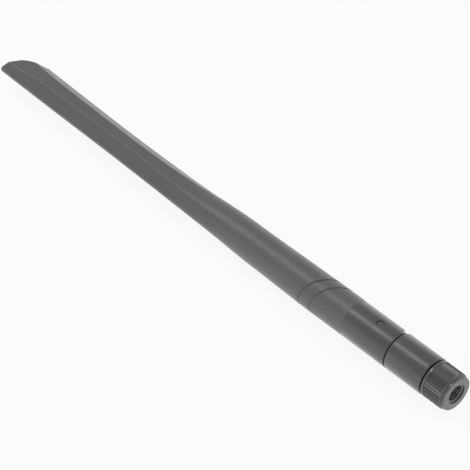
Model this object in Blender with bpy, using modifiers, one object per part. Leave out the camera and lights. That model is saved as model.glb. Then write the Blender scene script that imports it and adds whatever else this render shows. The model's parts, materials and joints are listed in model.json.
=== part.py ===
"""Swivel wifi antenna: flat swept blade on a round folding base with a knurled coupling nut.

The antenna lies on a surface with its blade's broad face up. The axis runs along X, the nut is
at +X, the blade's tip is at -X, and +Z is up. Stations are measured along the axis from the nut's
front face towards the tip. The blade folds about a vertical pin, towards +Y.
"""
import math

import bmesh
import bpy
from mathutils import Matrix

MM = 0.001

# Clearances
FIT_GAP = 0.3 * MM            # between pieces that touch or slide on the real product
NUT_END_GAP = 0.5 * MM        # between the nut and the base sleeve
BOOLEAN_REACH = 1.0 * MM      # how far a cutter stands out of what it cuts

# Base and hinge
BODY_DIAMETER = 12.5 * MM
SLEEVE_LENGTH = 14.2 * MM
SLEEVE_EDGE = 0.35 * MM
SLEEVE_FLOOR = 2.6 * MM       # solid end of the sleeve, in front of the tongue
PIN_TO_SLEEVE = 7.6 * MM      # from the hinge pin's axis to the sleeve's shoulder
PIN_DIAMETER = 2.3 * MM
PIN_RECESS = 0.12 * MM        # how far the pin's end lies below the housing's skin
TONGUE_RADIUS = 4.6 * MM
TONGUE_THICKNESS = 6.4 * MM
CHANNEL_DIAMETER = 2.6 * MM   # the way for the coax cable through the hinge
HOUSING_LENGTH = 18.2 * MM
SPIGOT_LENGTH = 10.0 * MM
FORK_RELIEF_ANGLE = 80       # degrees of the cheeks' ends that are rounded about the pin

# Coupling nut
NUT_LENGTH = 8.8 * MM
NUT_DIAMETER = 11.9 * MM
LIP_DIAMETER = 11.2 * MM
LIP_LENGTH = 0.75 * MM
LIP_GROOVE_LENGTH = 0.55 * MM
LIP_GROOVE_DEPTH = 0.3 * MM
REAR_RIM_LENGTH = 0.9 * MM
NUT_EDGE = 0.18 * MM
KNURL_COUNT = 56
KNURL_DEPTH = 0.26 * MM
KNURL_HALF_WIDTH = 0.27 * MM
KNURL_OVERSHOOT = 1.15       # how far a knurl tool reaches past the nut's skin, as a share
THREAD_DIAMETER = 6.35 * MM
MOUTH_DIAMETER = 6.8 * MM
MOUTH_DEPTH = 0.35 * MM
NUT_REAR_WALL = 1.35 * MM

# Plug inside the nut
PLUG_DEPTH = 5.4 * MM         # from the nut's front face to the plug's own face
COLLAR_DIAMETER = 5.7 * MM
COLLAR_LENGTH = 0.95 * MM
NECK_DIAMETER = 5.3 * MM
RING_GROOVE_DEPTH = 0.3 * MM
RING_THICKNESS = 0.5 * MM
RING_WIDTH = 0.65 * MM
RING_SPLIT = 1.2 * MM
INSULATOR_DIAMETER = 3.2 * MM
INSULATOR_LENGTH = 4.2 * MM
CONTACT_DIAMETER = 1.3 * MM
CONTACT_RECESS = 0.3 * MM
CONTACT_SOCKET_DIAMETER = 0.7 * MM
CONTACT_SOCKET_DEPTH = 2.3 * MM
CONTACT_CUP_DEPTH = 1.0 * MM
BARREL_DIAMETER = 6.0 * MM
BARREL_LENGTH = 6.2 * MM
SEAL_SECTION = 0.7 * MM
SEAL_SETBACK = 1.7 * MM       # from the barrel's front to the middle of its friction ring
SNAP_SETBACK = 4.1 * MM       # from the barrel's front to the middle of the sleeve's snap rib
SNAP_RIB_WIDTH = 0.8 * MM
SNAP_RIB_HEIGHT = 0.5 * MM
STEM_DIAMETER = 3.2 * MM
STEM_LENGTH = 3.2 * MM
FERRULE_WALL = 0.5 * MM
FERRULE_NECK_LENGTH = 1.7 * MM

# Cable
COAX_DIAMETER = 1.8 * MM
COAX_FOAM_DIAMETER = 1.0 * MM
COAX_CORE_DIAMETER = 0.5 * MM
CORE_BARE_LENGTH = 1.5 * MM
FOAM_BARE_LENGTH = 1.0 * MM
BRAID_DIAMETER = 1.4 * MM
BRAID_BARE_LENGTH = 4.0 * MM
SHRINK_LENGTH = 8.0 * MM
SHRINK_WALL = 0.3 * MM

# Radome
RADOME_LENGTH = 151.85 * MM
RADOME_WALL = 1.25 * MM
ROOT_STRAIGHT = 12.0 * MM     # full diameter kept from the housing on
SHOULDER_DIAMETER = 11.6 * MM
SHOULDER_STATION = 38.0 * MM  # from the radome's root: the end of the round stretch
BLADE_STATION = 90.0 * MM     # from the radome's root: the start of the even blade
BLADE_WIDTH = 9.85 * MM
TIP_WIDTH = 10.6 * MM
BLADE_BOW = 1.6 * MM          # how far the tip curves off the axis, towards +Y
THICKNESS_LAG = 1.4           # the thickness reaches full round later than the width
BLADE_THICKNESS = 5.0 * MM
BLADE_FLAT_WIDTH = 5.3 * MM   # the flat between the two long creases
BLADE_EDGE_HEIGHT = 1.1 * MM
CREASE_SOFTENING = 0.1 * MM
TIP_SWEEP = 8.0 * MM          # how far the tip's straight part runs back across the blade
TIP_TURN = 6.0 * MM           # how much further its rounded far corner runs back
TIP_TURN_POWER = 6
TIP_EDGE = 0.7 * MM
GROOVE_WIDTH = 1.1 * MM
GROOVE_DEPTH = 0.5 * MM
GROOVE_SLANT = math.radians(28.7)
FIRST_GROOVE = 8.8 * MM       # from the radome's root, on the axis
GROOVE_SPACING = 4.9 * MM

# Board inside the radome
BOARD_THICKNESS = 0.8 * MM
BOARD_LENGTH = 76.0 * MM
BOARD_SETBACK = 33.0 * MM     # from the radome's root
BOARD_SLOT_LENGTH = 12.0 * MM
BOARD_EDGE_GAP = 0.2 * MM     # more room at the board's edges, under the blade's bevels
SOLDER_WALL = 0.4 * MM
SOLDER_LENGTH = 2.4 * MM
SOLDER_MARGIN = 0.8 * MM      # of bare board left on each side of the solder saddle
LIVE_JOINT_LENGTH = 1.6 * MM
LIVE_JOINT_HEIGHT = 0.7 * MM
FOAM_LENGTH = 9.0 * MM
TIP_PAD_LENGTH = 7.0 * MM
TIP_PAD_OVERLAP = 4.2 * MM    # how far the tip's foam pad reaches over the board

# Fineness
SEGMENTS = 48                 # round pieces; a multiple of 8
FINE_SEGMENTS = 24            # small inner pieces
ARC_STEPS = 12                # a quarter turn in plan
SHADE_ANGLE = math.radians(30)
CREASE_INDEX = 5              # which point of a quarter section lies on the blade's crease
EDGE_INDEX = 8                # which one lies on the blade's outer edge
MORPH_RINGS = 10
BLADE_RINGS = 3
TIP_EDGE_RINGS = 3
MERGE = 0.00001

# Stations from the nut's front face
NUT_REAR = NUT_LENGTH
SLEEVE_FRONT = NUT_REAR + NUT_END_GAP
SLEEVE_REAR = SLEEVE_FRONT + SLEEVE_LENGTH
PIN_STATION = SLEEVE_REAR + PIN_TO_SLEEVE
HOUSING_FRONT = SLEEVE_REAR + FIT_GAP
HOUSING_REAR = HOUSING_FRONT + HOUSING_LENGTH
RADOME_ROOT = HOUSING_REAR + FIT_GAP
TOTAL_LENGTH = RADOME_ROOT + RADOME_LENGTH

# Shared radii and heights
BODY_RADIUS = BODY_DIAMETER / 2
AXIS_HEIGHT = BODY_RADIUS * math.cos(math.pi / SEGMENTS)
TIP_OVERHANG = max(BLADE_BOW + TIP_WIDTH / 2 - AXIS_HEIGHT, 0.0)
AXIS_SIDE = -TIP_OVERHANG / 2  # keeps the whole antenna's box centred on the origin
SPIGOT_RADIUS = BODY_RADIUS - RADOME_WALL - FIT_GAP
CHANNEL_RADIUS = CHANNEL_DIAMETER / 2
PIN_HOLE_RADIUS = PIN_DIAMETER / 2 + FIT_GAP
SLOT_HALF_HEIGHT = TONGUE_THICKNESS / 2 + FIT_GAP
SLOT_RADIUS = TONGUE_RADIUS + FIT_GAP
BORE_RADIUS = BARREL_DIAMETER / 2 + FIT_GAP
BARREL_FRONT = NUT_REAR + FIT_GAP
BARREL_REAR = BARREL_FRONT + BARREL_LENGTH
STEM_REAR = BARREL_REAR + STEM_LENGTH
INSULATOR_REAR = PLUG_DEPTH + INSULATOR_LENGTH
CONTACT_HOLE_RADIUS = CONTACT_DIAMETER / 2 + FIT_GAP
CABLE_BORE_RADIUS = COAX_DIAMETER / 2 + FIT_GAP
BOARD_FRONT = RADOME_ROOT + BOARD_SETBACK
BOARD_REAR = BOARD_FRONT + BOARD_LENGTH
SLOT_END = BOARD_FRONT + BOARD_SLOT_LENGTH
SLOT_HALF_WIDTH = COAX_DIAMETER / 2 + FIT_GAP
SHRINK_FRONT = BOARD_FRONT - FIT_GAP - SHRINK_LENGTH


def at(station):
    """The X coordinate of a station."""
    return TOTAL_LENGTH / 2 - station


def clear_scene():
    for thing in list(bpy.data.objects):
        bpy.data.objects.remove(thing, do_unlink=True)


def make_collection(name):
    collection = bpy.data.collections.get(name) or bpy.data.collections.new(name)
    if name not in bpy.context.scene.collection.children:
        bpy.context.scene.collection.children.link(collection)
    return collection


def make_material(name, colour, roughness, metallic=0.0):
    material = bpy.data.materials.new(name)
    material.use_nodes = True
    shader = material.node_tree.nodes["Principled BSDF"]
    shader.inputs["Base Color"].default_value = (*colour, 1.0)
    shader.inputs["Roughness"].default_value = roughness
    shader.inputs["Metallic"].default_value = metallic
    return material


def add_object(name, mesh, collection, material=None):
    thing = bpy.data.objects.new(name, mesh)
    collection.objects.link(thing)
    if material:
        mesh.materials.append(material)
    return thing


def add_empty(name, collection, station):
    empty = bpy.data.objects.new(name, None)
    empty.location = (at(station), AXIS_SIDE, AXIS_HEIGHT)
    collection.objects.link(empty)
    return empty


def attach(thing, parent):
    """Parents a piece to a body's empty and keeps its place."""
    thing.parent = parent
    thing.location = thing.location - parent.location


def lathe(name, profile, collection, material=None, steps=SEGMENTS, closed=True):
    """A turned piece on the axis; the profile holds (radius, station) points.

    It runs from the nut's side to the tip's side along the outer skin. A closed profile joins
    its last point to its first, and an open one starts and ends on the axis.
    """
    mesh = bpy.data.meshes.new(name)
    count = len(profile)
    edges = [(i, i + 1) for i in range(count - 1)]
    if closed:
        edges.append((count - 1, 0))
    mesh.from_pydata([(radius, 0, at(station)) for radius, station in profile], edges, [])
    thing = add_object(name, mesh, collection, material)
    thing.rotation_mode = "ZYX"
    thing.rotation_euler = (0, math.pi / 2, math.pi / steps)
    thing.location = (0, AXIS_SIDE, AXIS_HEIGHT)
    screw = thing.modifiers.new("turn", "SCREW")
    screw.axis = "Z"
    screw.angle = 2 * math.pi
    screw.steps = steps
    screw.render_steps = steps
    screw.use_merge_vertices = True
    screw.merge_threshold = MERGE
    return thing


def plate(name, outline, low, high, collection, material=None):
    """A flat piece with its outline in plan, between two heights over the axis."""
    curve = bpy.data.curves.new(name, "CURVE")
    curve.dimensions = "2D"
    curve.fill_mode = "BOTH"
    curve.extrude = (high - low) / 2
    spline = curve.splines.new("POLY")
    spline.points.add(len(outline) - 1)
    for point, (x, y) in zip(spline.points, outline):
        point.co = (x, y, 0, 1)
    spline.use_cyclic_u = True
    source = bpy.data.objects.new(name + "_curve", curve)
    source.location = (0, AXIS_SIDE, AXIS_HEIGHT + (low + high) / 2)
    collection.objects.link(source)
    thing = solid_from(source, name, collection)
    if material:
        thing.data.materials.append(material)
    return thing


def solid_from(source, name, collection):
    """A welded mesh object in the place of a curve or of an object with live modifiers."""
    bpy.context.view_layer.update()
    evaluated = source.evaluated_get(bpy.context.evaluated_depsgraph_get())
    mesh = bpy.data.meshes.new_from_object(evaluated)
    mesh.name = name
    welded = bmesh.new()
    welded.from_mesh(mesh)
    bmesh.ops.remove_doubles(welded, verts=welded.verts, dist=MERGE)
    bmesh.ops.recalc_face_normals(welded, faces=welded.faces)
    welded.to_mesh(mesh)
    welded.free()
    thing = bpy.data.objects.new(name, mesh)
    thing.matrix_world = source.matrix_world.copy()
    collection.objects.link(thing)
    bpy.data.objects.remove(source, do_unlink=True)
    return thing


def drill(name, radius, low, high, station, collection):
    """An upright round cutter through the axis, between two heights over it."""
    mesh = bpy.data.meshes.new(name)
    shape = bmesh.new()
    place = Matrix.Translation((at(station), AXIS_SIDE, AXIS_HEIGHT + (low + high) / 2))
    bmesh.ops.create_cone(
        shape, cap_ends=True, segments=FINE_SEGMENTS, radius1=radius, radius2=radius,
        depth=high - low, matrix=place)
    shape.to_mesh(mesh)
    shape.free()
    return add_object(name, mesh, collection)


def combine(thing, tool, operation="DIFFERENCE"):
    """A Boolean that keeps the tool out of sight."""
    modifier = thing.modifiers.new(tool.name, "BOOLEAN")
    modifier.operation = operation
    modifier.solver = "EXACT"
    modifier.object = tool
    tool.hide_render = True
    tool.display_type = "WIRE"


def shade_round(thing):
    thing.data.shade_smooth()
    thing.data.set_sharp_from_angle(angle=SHADE_ANGLE)


def arc(radius, start, end, steps, centre=(0.0, 0.0)):
    """Points on an arc in plan, from one angle to another, in degrees."""
    points = []
    for step in range(steps + 1):
        angle = math.radians(start + (end - start) * step / steps)
        points.append((centre[0] + radius * math.cos(angle), centre[1] + radius * math.sin(angle)))
    return points


def quarter_index(index):
    """Where a point of the whole section lies in its own quarter, counted from the top or bottom."""
    quarter = SEGMENTS // 4
    place = index % (2 * quarter)
    return place if place < quarter else 2 * quarter - 1 - place


def blade_point(index, width, thickness):
    """One quarter point of the blade's eight-sided section."""
    flat = BLADE_FLAT_WIDTH / 2 * width / BLADE_WIDTH
    half_width = width / 2
    half_thickness = thickness / 2
    half_edge = BLADE_EDGE_HEIGHT / 2
    if index < CREASE_INDEX:
        return flat * (index + 0.5) / (CREASE_INDEX + 0.5), half_thickness
    if index == CREASE_INDEX:
        return flat, half_thickness - CREASE_SOFTENING
    if index <= EDGE_INDEX:
        share = (index - CREASE_INDEX) / (EDGE_INDEX - CREASE_INDEX)
        across = flat + (half_width - flat) * share
        up = half_thickness + (half_edge - half_thickness) * share
        return across, up
    last = SEGMENTS // 4 - 0.5
    return half_width, half_edge * (last - index) / (last - EDGE_INDEX)


def bow(distance):
    """How far the blade's middle lies off the axis at a distance from the radome's root."""
    share = max(distance - SHOULDER_STATION, 0.0) / (RADOME_LENGTH - SHOULDER_STATION)
    return BLADE_BOW * share * share


def blade_width(distance):
    """The blade widens evenly from its start to the tip."""
    share = max(distance - BLADE_STATION, 0.0) / (RADOME_LENGTH - BLADE_STATION)
    return BLADE_WIDTH + (TIP_WIDTH - BLADE_WIDTH) * share


def smooth_step(share):
    share = min(max(share, 0.0), 1.0)
    return share * share * (3 - 2 * share)


def round_radius(distance):
    """The round stretch's radius at a distance from the radome's root."""
    share = min(max((distance - ROOT_STRAIGHT) / (SHOULDER_STATION - ROOT_STRAIGHT), 0.0), 1.0)
    return BODY_RADIUS + (SHOULDER_DIAMETER / 2 - BODY_RADIUS) * share


def radome_section(distance, inset):
    """The section's (y, z) points at a distance from the root, drawn in by a wall or an edge."""
    blend = smooth_step((BLADE_STATION - distance) / (BLADE_STATION - SHOULDER_STATION))
    lift = blend ** THICKNESS_LAG
    radius = round_radius(distance) - inset
    points = []
    for index in range(SEGMENTS):
        angle = 2 * math.pi * (index + 0.5) / SEGMENTS
        side = 1 if math.sin(angle) > 0 else -1
        up = 1 if math.cos(angle) > 0 else -1
        across, height = blade_point(
            quarter_index(index), blade_width(distance) - 2 * inset, BLADE_THICKNESS - 2 * inset)
        y = blend * radius * math.sin(angle) + (1 - blend) * side * across
        z = lift * radius * math.cos(angle) + (1 - lift) * up * height
        points.append((y + bow(distance), z))
    return points


def tip_setback(y):
    """How far the tip's end lies back at a distance y from the axis."""
    near = BLADE_BOW - TIP_WIDTH / 2 + TIP_EDGE
    share = min(max((y - near) / (TIP_WIDTH - TIP_EDGE), 0.0), 1.0)
    return TIP_SWEEP * share + TIP_TURN * share ** TIP_TURN_POWER


def radome_rings(inset, end_gap):
    """Rings of points from the root to the tip, for the outer skin or for the cavity."""
    stations = [0.0, ROOT_STRAIGHT]
    for step in range(MORPH_RINGS + 1):
        share = step / MORPH_RINGS
        stations.append(SHOULDER_STATION + (BLADE_STATION - SHOULDER_STATION) * share)
    tip_start = RADOME_LENGTH - TIP_SWEEP - TIP_TURN - TIP_EDGE - end_gap
    for step in range(1, BLADE_RINGS + 1):
        stations.append(BLADE_STATION + (tip_start - BLADE_STATION) * step / BLADE_RINGS)
    rings = []
    for distance in stations:
        rings.append([(at(RADOME_ROOT + distance), y, z) for y, z in radome_section(distance, inset)])
    for step in range(TIP_EDGE_RINGS + 1):
        angle = math.pi / 2 * step / TIP_EDGE_RINGS
        edge = TIP_EDGE * (1 - math.cos(angle))
        reach = RADOME_LENGTH - end_gap - TIP_EDGE * (1 - math.sin(angle))
        section = radome_section(RADOME_LENGTH, inset + edge)
        rings.append([(at(RADOME_ROOT + reach - tip_setback(y)), y, z) for y, z in section])
    return rings


def add_ring_wall(shape, rings):
    """Walls between neighbouring rings, and the tip's end as upright strips across the blade.

    The blade's narrow edge faces have several points one above the other, so the end's first and
    last strips take them all.
    """
    loops = [[shape.verts.new(point) for point in ring] for ring in rings]
    for near, far in zip(loops, loops[1:]):
        for index in range(SEGMENTS):
            following = (index + 1) % SEGMENTS
            shape.faces.new((near[index], near[following], far[following], far[index]))
    half = SEGMENTS // 2
    quarter = SEGMENTS // 4
    end = loops[-1]
    upper = [end[(3 * quarter + step) % SEGMENTS] for step in range(half)]
    lower = [end[(3 * quarter - 1 - step) % SEGMENTS] for step in range(half)]
    edge = quarter - EDGE_INDEX
    first, last = edge, half - 1 - edge
    shape.faces.new(upper[:first + 1] + lower[first::-1])
    for step in range(first, last):
        shape.faces.new((upper[step], upper[step + 1], lower[step + 1], lower[step]))
    shape.faces.new(upper[last:] + lower[:last - 1:-1])
    return loops[0]


def make_radome(parts, cutters, plastic):
    """The one-piece hollow blade: round root, swept flat blade and two slanted grooves."""
    shape = bmesh.new()
    outer = add_ring_wall(shape, radome_rings(0.0, 0.0))
    inner = add_ring_wall(shape, radome_rings(RADOME_WALL, RADOME_WALL))
    for index in range(SEGMENTS):
        following = (index + 1) % SEGMENTS
        shape.faces.new((outer[index], outer[following], inner[following], inner[index]))
    bmesh.ops.recalc_face_normals(shape, faces=shape.faces)
    mesh = bpy.data.meshes.new("radome")
    shape.to_mesh(mesh)
    shape.free()
    radome = add_object("radome", mesh, parts, plastic)
    radome.location = (0, AXIS_SIDE, AXIS_HEIGHT)
    for number in (1, 2):
        station = RADOME_ROOT + FIRST_GROOVE + GROOVE_SPACING * (number - 1)
        combine(radome, groove_cutter(f"groove_cutter_{number}", station, cutters))
    shade_round(radome)
    return radome


def groove_cutter(name, station, cutters):
    """A turned V ring, sheared so that it leans across the axis."""
    outer = BODY_RADIUS + GROOVE_DEPTH
    spread = GROOVE_WIDTH / 2 * (outer - BODY_RADIUS + GROOVE_DEPTH) / GROOVE_DEPTH
    ring = lathe(
        name + "_turned",
        [(BODY_RADIUS - GROOVE_DEPTH, station), (outer, station - spread), (outer, station + spread)],
        cutters)
    cutter = solid_from(ring, name, cutters)
    turn = cutter.matrix_world.copy()
    lean = Matrix.Identity(4)
    lean[0][1] = math.tan(GROOVE_SLANT)
    lean[0][3] = -math.tan(GROOVE_SLANT) * AXIS_SIDE
    cutter.data.transform(lean @ turn)
    cutter.matrix_world = Matrix.Identity(4)
    return cutter


def fork_slot(cutters):
    """The hinge slot: open at the housing's end and on its +Y side, closed on the -Y side."""
    pin = at(PIN_STATION)
    end = at(HOUSING_FRONT) + BOOLEAN_REACH
    side = BODY_RADIUS + BOOLEAN_REACH
    outline = arc(SLOT_RADIUS, 180, 270, ARC_STEPS, (pin, 0))
    outline += [(end, -SLOT_RADIUS), (end, side), (pin - SLOT_RADIUS, side)]
    return plate("fork_slot", outline, -SLOT_HALF_HEIGHT, SLOT_HALF_HEIGHT, cutters)


def fork_relief(cutters):
    """Rounds the cheeks' +Y ends about the pin, so that the sleeve's shoulder swings past."""
    pin = at(PIN_STATION)
    radius = PIN_TO_SLEEVE - FIT_GAP
    reach = radius + BODY_RADIUS
    outline = arc(radius, 0, FORK_RELIEF_ANGLE, ARC_STEPS, (pin, 0))
    outline += [(outline[-1][0], reach), (pin + reach, reach), (pin + reach, 0)]
    high = BODY_RADIUS + BOOLEAN_REACH
    return plate("fork_relief", outline, -high, high, cutters)


def make_housing(parts, cutters, plastic):
    """The upper hinge half: a fork with a spigot that plugs into the radome."""
    spigot_end = RADOME_ROOT + SPIGOT_LENGTH
    housing = lathe("hinge_housing", [
        (CHANNEL_RADIUS, HOUSING_FRONT),
        (BODY_RADIUS, HOUSING_FRONT),
        (BODY_RADIUS, HOUSING_REAR),
        (SPIGOT_RADIUS, HOUSING_REAR),
        (SPIGOT_RADIUS, spigot_end),
        (CHANNEL_RADIUS, spigot_end),
    ], parts, plastic)
    combine(housing, fork_slot(cutters))
    combine(housing, fork_relief(cutters))
    high = BODY_RADIUS + BOOLEAN_REACH
    combine(housing, drill("fork_pin_hole", PIN_HOLE_RADIUS, -high, high, PIN_STATION, cutters))
    shade_round(housing)
    return housing


def make_tongue(cutters):
    """The sleeve's hinge tongue, round about the pin."""
    pin = at(PIN_STATION)
    root = at(SLEEVE_REAR - SLEEVE_FLOOR / 2)
    outline = arc(TONGUE_RADIUS, 90, 270, 2 * ARC_STEPS, (pin, 0))
    outline += [(root, -TONGUE_RADIUS), (root, TONGUE_RADIUS)]
    half = TONGUE_THICKNESS / 2
    return plate("tongue", outline, -half, half, cutters)


def make_sleeve(parts, cutters, plastic):
    """The lower hinge half, which turns on the plug's barrel."""
    rib = BARREL_FRONT + SNAP_SETBACK
    half_rib = SNAP_RIB_WIDTH / 2
    rib_radius = BORE_RADIUS - SNAP_RIB_HEIGHT
    floor = SLEEVE_REAR - SLEEVE_FLOOR
    sleeve = lathe("base_sleeve", [
        (BORE_RADIUS, SLEEVE_FRONT),
        (BODY_RADIUS - SLEEVE_EDGE, SLEEVE_FRONT),
        (BODY_RADIUS, SLEEVE_FRONT + SLEEVE_EDGE),
        (BODY_RADIUS, SLEEVE_REAR),
        (CHANNEL_RADIUS, SLEEVE_REAR),
        (CHANNEL_RADIUS, floor),
        (BORE_RADIUS, floor),
        (BORE_RADIUS, rib + half_rib),
        (rib_radius, rib + half_rib),
        (rib_radius, rib - half_rib),
        (BORE_RADIUS, rib - half_rib),
    ], parts, plastic)
    combine(sleeve, make_tongue(cutters), "UNION")
    channel = lathe("tongue_channel", [
        (0, SLEEVE_REAR - SLEEVE_FLOOR - BOOLEAN_REACH),
        (CHANNEL_RADIUS, SLEEVE_REAR - SLEEVE_FLOOR - BOOLEAN_REACH),
        (CHANNEL_RADIUS, PIN_STATION),
        (0, PIN_STATION),
    ], cutters, closed=False)
    combine(sleeve, channel)
    pin = at(PIN_STATION)
    reach = TONGUE_RADIUS + BOOLEAN_REACH
    pocket = plate("cable_pocket", [
        (pin - reach, -CHANNEL_RADIUS),
        (pin + CHANNEL_RADIUS, -CHANNEL_RADIUS),
        (pin + CHANNEL_RADIUS, reach),
        (pin - reach, reach),
    ], -CHANNEL_RADIUS, CHANNEL_RADIUS, cutters)
    combine(sleeve, pocket)
    half = TONGUE_THICKNESS / 2 + BOOLEAN_REACH
    combine(sleeve, drill("tongue_pin_hole", PIN_HOLE_RADIUS, -half, half, PIN_STATION, cutters))
    shade_round(sleeve)
    return sleeve


def make_pin(name, side, parts, metal):
    """One of the two short hinge pins; the cable passes between them."""
    inner = CHANNEL_RADIUS + FIT_GAP
    outer = BODY_RADIUS * math.cos(math.asin(PIN_DIAMETER / BODY_DIAMETER)) - PIN_RECESS
    low, high = sorted((side * inner, side * outer))
    pin = drill(name, PIN_DIAMETER / 2, low, high, PIN_STATION, parts)
    pin.data.materials.append(metal)
    shade_round(pin)
    return pin


def knurl_cutters(cutters):
    """One V tool for each valley of the nut's straight knurl, in one object.

    A tool is a three-sided prism along X. It stands a little out of the nut, so that neighbouring
    tools stay clear of each other, and its sharp edge points at the axis.
    """
    start = LIP_LENGTH + LIP_GROOVE_LENGTH
    end = NUT_REAR - REAR_RIM_LENGTH
    height = KNURL_DEPTH * KNURL_OVERSHOOT
    deep = height / 1.5
    wide = KNURL_HALF_WIDTH * KNURL_OVERSHOOT / math.sin(math.radians(60))
    lay = Matrix(((0, 0, 1, 0), (wide, 0, 0, 0), (0, deep, 0, 0), (0, 0, 0, 1)))
    place = Matrix.Translation((at((start + end) / 2), 0, KNURL_DEPTH - NUT_DIAMETER / 2 - deep))
    shape = bmesh.new()
    for index in range(KNURL_COUNT):
        turn = Matrix.Rotation(2 * math.pi * index / KNURL_COUNT, 4, "X")
        bmesh.ops.create_cone(
            shape, cap_ends=True, segments=3, radius1=1, radius2=1, depth=end - start,
            matrix=Matrix.Translation((0, AXIS_SIDE, AXIS_HEIGHT)) @ turn @ place @ lay)
    bmesh.ops.recalc_face_normals(shape, faces=shape.faces)
    mesh = bpy.data.meshes.new("knurl_cutters")
    shape.to_mesh(mesh)
    shape.free()
    return add_object("knurl_cutters", mesh, cutters)


def make_nut(parts, cutters, metal):
    """The knurled coupling nut, with its front lip, threaded bore and ring groove."""
    knurl = NUT_DIAMETER / 2
    lip = LIP_DIAMETER / 2
    bore = THREAD_DIAMETER / 2
    ring_front = PLUG_DEPTH + COLLAR_LENGTH
    ring_rear = NUT_REAR - NUT_REAR_WALL
    ring_radius = NECK_DIAMETER / 2 + RING_WIDTH + FIT_GAP
    rear_hole = NECK_DIAMETER / 2 + FIT_GAP
    groove_end = LIP_LENGTH + LIP_GROOVE_LENGTH
    nut = lathe("coupling_nut", [
        (MOUTH_DIAMETER / 2, 0),
        (lip - NUT_EDGE, 0),
        (lip, NUT_EDGE),
        (lip, LIP_LENGTH - NUT_EDGE),
        (lip - LIP_GROOVE_DEPTH, LIP_LENGTH),
        (lip - LIP_GROOVE_DEPTH, LIP_LENGTH + NUT_EDGE),
        (knurl, groove_end),
        (knurl, NUT_REAR - NUT_EDGE),
        (knurl - NUT_EDGE, NUT_REAR),
        (rear_hole, NUT_REAR),
        (rear_hole, ring_rear),
        (ring_radius, ring_rear),
        (ring_radius, ring_front),
        (bore, ring_front),
        (bore, MOUTH_DEPTH),
    ], parts, metal, steps=KNURL_COUNT)
    combine(nut, knurl_cutters(cutters))
    shade_round(nut)
    return nut


def make_plug_body(parts, metal):
    """The plug's turned body: collar, neck, swivel barrel with two grooves, and crimp stem."""
    collar = COLLAR_DIAMETER / 2
    neck = NECK_DIAMETER / 2
    barrel = BARREL_DIAMETER / 2
    ring_front = PLUG_DEPTH + COLLAR_LENGTH
    ring_rear = ring_front + RING_THICKNESS + 2 * FIT_GAP
    seal = BARREL_FRONT + SEAL_SETBACK
    seal_half = SEAL_SECTION / 2 + FIT_GAP
    seal_floor = barrel - SEAL_SECTION - FIT_GAP
    snap = BARREL_FRONT + SNAP_SETBACK
    snap_half = SNAP_RIB_WIDTH / 2 + FIT_GAP
    snap_floor = BORE_RADIUS - SNAP_RIB_HEIGHT - FIT_GAP
    wide_bore = INSULATOR_DIAMETER / 2 + FIT_GAP
    wide_end = INSULATOR_REAR + FIT_GAP
    body = lathe("connector_body", [
        (wide_bore, PLUG_DEPTH),
        (collar, PLUG_DEPTH),
        (collar, ring_front),
        (neck - RING_GROOVE_DEPTH, ring_front),
        (neck - RING_GROOVE_DEPTH, ring_rear),
        (neck, ring_rear),
        (neck, BARREL_FRONT),
        (barrel, BARREL_FRONT),
        (barrel, seal - seal_half),
        (seal_floor, seal - seal_half),
        (seal_floor, seal + seal_half),
        (barrel, seal + seal_half),
        (barrel, snap - snap_half),
        (snap_floor, snap - snap_half),
        (snap_floor, snap + snap_half),
        (barrel, snap + snap_half),
        (barrel, BARREL_REAR),
        (STEM_DIAMETER / 2, BARREL_REAR),
        (STEM_DIAMETER / 2, STEM_REAR),
        (CABLE_BORE_RADIUS, STEM_REAR),
        (CABLE_BORE_RADIUS, wide_end),
        (wide_bore, wide_end),
    ], parts, metal, steps=FINE_SEGMENTS)
    shade_round(body)
    return body


def make_tube(name, inner, outer, start, end, parts, material):
    tube = lathe(name, [(inner, start), (outer, start), (outer, end), (inner, end)],
                 parts, material, steps=FINE_SEGMENTS)
    shade_round(tube)
    return tube


def make_contact(parts, metal):
    """The socket contact: a split-free tube with a bore in front and a solder cup behind."""
    outer = CONTACT_DIAMETER / 2
    front = PLUG_DEPTH + CONTACT_RECESS
    rear = INSULATOR_REAR - FIT_GAP
    cup = COAX_CORE_DIAMETER / 2 + FIT_GAP
    contact = lathe("centre_contact", [
        (0, front + CONTACT_SOCKET_DEPTH),
        (CONTACT_SOCKET_DIAMETER / 2, front + CONTACT_SOCKET_DEPTH),
        (CONTACT_SOCKET_DIAMETER / 2, front),
        (outer, front),
        (outer, rear),
        (cup, rear),
        (cup, rear - CONTACT_CUP_DEPTH),
        (0, rear - CONTACT_CUP_DEPTH),
    ], parts, metal, steps=FINE_SEGMENTS, closed=False)
    shade_round(contact)
    return contact


def make_retaining_ring(parts, cutters, metal):
    """The split ring that keeps the nut on the plug."""
    inner = NECK_DIAMETER / 2 - RING_GROOVE_DEPTH + FIT_GAP
    outer = NECK_DIAMETER / 2 + RING_WIDTH
    start = PLUG_DEPTH + COLLAR_LENGTH + FIT_GAP
    ring = make_tube("retaining_ring", inner, outer, start, start + RING_THICKNESS, parts, metal)
    middle = at(start + RING_THICKNESS / 2)
    reach = RING_THICKNESS
    split = plate("ring_split", [
        (middle - reach, -RING_SPLIT / 2),
        (middle + reach, -RING_SPLIT / 2),
        (middle + reach, RING_SPLIT / 2),
        (middle - reach, RING_SPLIT / 2),
    ], inner / 2, outer + BOOLEAN_REACH, cutters)
    combine(ring, split)
    return ring


def make_friction_ring(parts, rubber):
    """The rubber ring that makes the sleeve turn stiffly on the barrel."""
    half = SEAL_SECTION / 2
    station = BARREL_FRONT + SEAL_SETBACK
    radius = BARREL_DIAMETER / 2 - half
    section = []
    for step in range(ARC_STEPS):
        angle = 2 * math.pi * step / ARC_STEPS
        section.append((radius + half * math.cos(angle), station + half * math.sin(angle)))
    ring = lathe("friction_ring", section, parts, rubber, steps=FINE_SEGMENTS)
    shade_round(ring)
    return ring


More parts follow.
